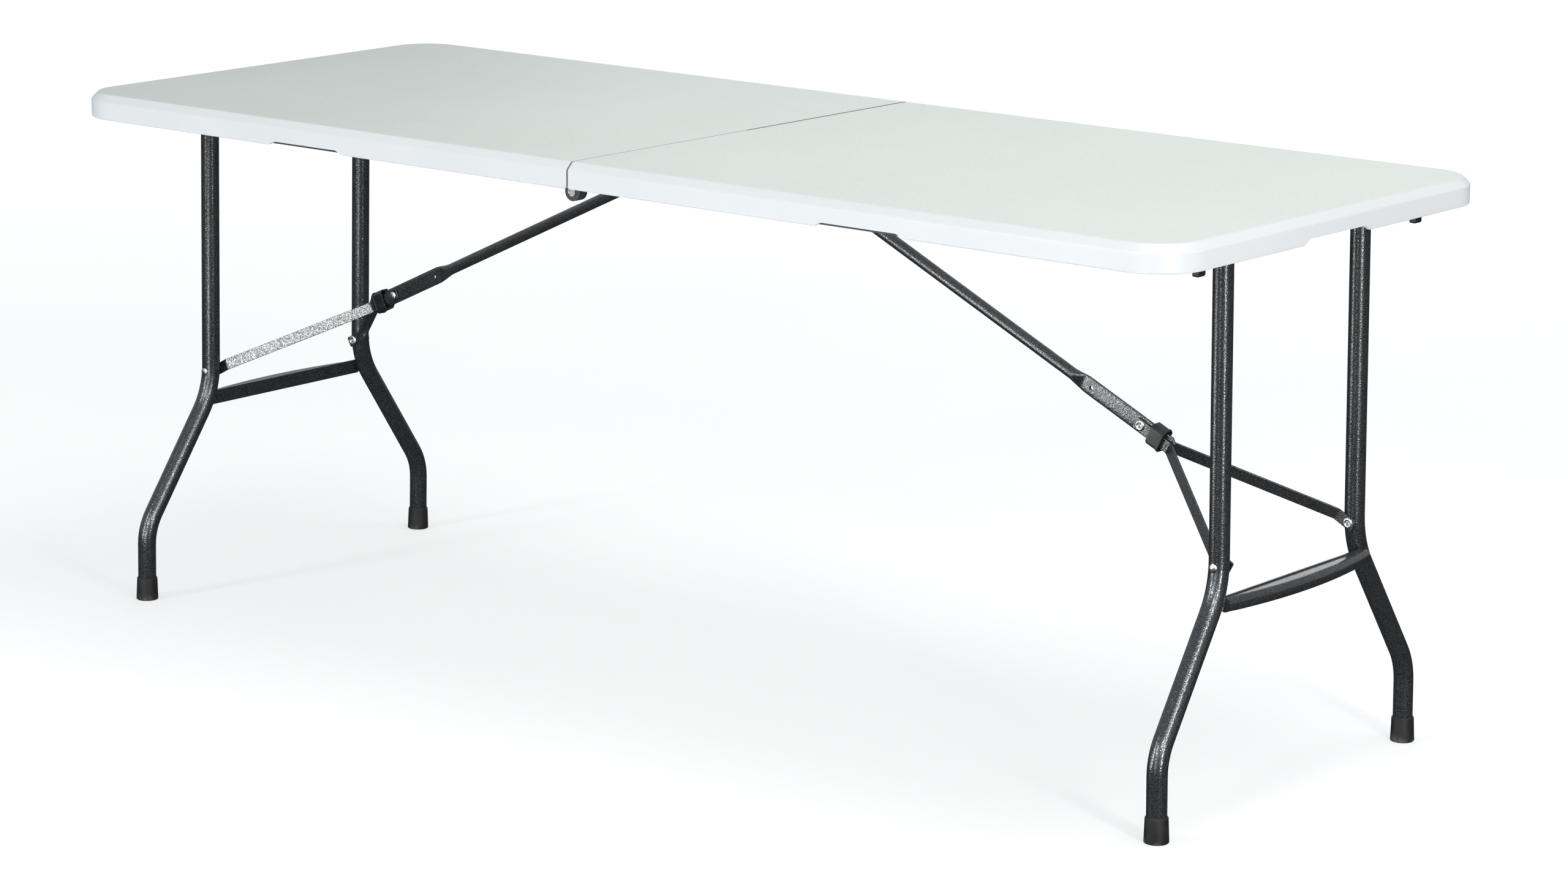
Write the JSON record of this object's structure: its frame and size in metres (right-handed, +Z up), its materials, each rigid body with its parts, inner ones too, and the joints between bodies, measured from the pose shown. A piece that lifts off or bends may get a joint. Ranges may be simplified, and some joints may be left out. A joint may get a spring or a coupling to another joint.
{
  "type": "folding table",
  "caption": "Fold-in-half trestle table: white moulded plastic top on two steel tube leg sets that fold flat under it on locking braces.",
  "frame": {"origin": "on the floor under the middle of the open table", "axes": "+X along the length, +Y across the width, +Z up"},
  "size_m": [1.8, 0.7, 0.72],
  "materials": {
    "top_plastic": "fine pebble-grained moulded polyethylene, greyish white",
    "hammered_paint": "hammered powder coat, dark grey, satin",
    "rail_paint": "powder coat, near black, satin",
    "black_plastic": "moulded nylon, black, low sheen",
    "foot_plastic": "soft moulded plastic, black, scuffed",
    "zinc": "bright zinc plate"
  },
  "bodies": {
    "half_left": {"table_top_left": "top_plastic", "rail_near_left": "rail_paint", "rail_far_left": "rail_paint", "rail_screws_left": "zinc", "latch_near_left": "black_plastic", "latch_far_left": "black_plastic", "latch_screws_left": "zinc", "brace_bar_left": "rail_paint", "brace_clevis_left": "rail_paint", "brace_pivot_rivet_left": "zinc", "hinge_fork_near": "rail_paint", "hinge_fork_far": "rail_paint", "hinge_pins": "zinc"},
    "half_right": {"table_top_right": "top_plastic", "rail_near_right": "rail_paint", "rail_far_right": "rail_paint", "rail_screws_right": "zinc", "latch_near_right": "black_plastic", "latch_far_right": "black_plastic", "latch_screws_right": "zinc", "brace_bar_right": "rail_paint", "brace_clevis_right": "rail_paint", "brace_pivot_rivet_right": "zinc", "hinge_tongue_near": "rail_paint", "hinge_tongue_far": "rail_paint"},
    "legs_left": {"leg_near_left": "hammered_paint", "leg_far_left": "hammered_paint", "pivot_bar_left": "hammered_paint", "crossbar_left": "hammered_paint", "foot_cap_near_left": "foot_plastic", "foot_cap_far_left": "foot_plastic", "leg_rivets_left": "zinc"},
    "brace_left": {"brace_tube_left": "hammered_paint"},
    "knee_left": {"brace_arm_near_left": "hammered_paint", "brace_arm_far_left": "hammered_paint", "knee_rivet_left": "zinc", "arm_rivets_left": "zinc"},
    "ring_left": {"lock_ring_left": "black_plastic"},
    "legs_right": {"leg_near_right": "hammered_paint", "leg_far_right": "hammered_paint", "pivot_bar_right": "hammered_paint", "crossbar_right": "hammered_paint", "foot_cap_near_right": "foot_plastic", "foot_cap_far_right": "foot_plastic", "leg_rivets_right": "zinc"},
    "brace_right": {"brace_tube_right": "hammered_paint"},
    "knee_right": {"brace_arm_near_right": "hammered_paint", "brace_arm_far_right": "hammered_paint", "knee_rivet_right": "zinc", "arm_rivets_right": "zinc"},
    "ring_right": {"lock_ring_right": "black_plastic"}
  },
  "joints": [
    {"name": "half_fold", "type": "hinge", "parent": "half_left", "child": "half_right", "pos_m": [0, 0, 0.682], "axis": [0, 1, 0], "range_deg": [0, 90]},
    {"name": "leg_fold_left", "type": "hinge", "parent": "half_left", "child": "legs_left", "pos_m": [-0.838, 0, 0.6977], "axis": [0, -1, 0], "range_deg": [0, 91.15]},
    {"name": "brace_swing_left", "type": "hinge", "parent": "half_left", "child": "brace_left", "pos_m": [-0.046, 0, 0.696], "axis": [0, -1, 0], "range_deg": [-25.43, 0]},
    {"name": "knee_bend_left", "type": "hinge", "parent": "brace_left", "child": "knee_left", "pos_m": [-0.63014, 0, 0.42139], "axis": [0, -1, 0], "range_deg": [0, 177.3]},
    {"name": "ring_slide_left", "type": "slide", "parent": "brace_left", "child": "ring_left", "axis": [0.905, 0, 0.4254], "range_m": [0, 0.2921]},
    {"name": "leg_fold_right", "type": "hinge", "parent": "half_right", "child": "legs_right", "pos_m": [0.838, 0, 0.6977], "axis": [0, 1, 0], "range_deg": [0, 91.15]},
    {"name": "brace_swing_right", "type": "hinge", "parent": "half_right", "child": "brace_right", "pos_m": [0.046, 0, 0.696], "axis": [0, 1, 0], "range_deg": [-25.43, 0]},
    {"name": "knee_bend_right", "type": "hinge", "parent": "brace_right", "child": "knee_right", "pos_m": [0.63014, 0, 0.42139], "axis": [0, 1, 0], "range_deg": [0, 177.3]},
    {"name": "ring_slide_right", "type": "slide", "parent": "brace_right", "child": "ring_right", "axis": [-0.905, 0, 0.4254], "range_m": [0, 0.2921]}
  ],
  "couplings": [
    {"joint": "brace_swing_left", "follows": "leg_fold_left", "ratio": -0.2789},
    {"joint": "knee_bend_left", "follows": "leg_fold_left", "ratio": 1.9449},
    {"joint": "ring_slide_left", "follows": "leg_fold_left", "m_per_rad": 0.18355},
    {"joint": "brace_swing_right", "follows": "leg_fold_right", "ratio": -0.2789},
    {"joint": "knee_bend_right", "follows": "leg_fold_right", "ratio": 1.9449},
    {"joint": "ring_slide_right", "follows": "leg_fold_right", "m_per_rad": 0.18355}
  ]
}
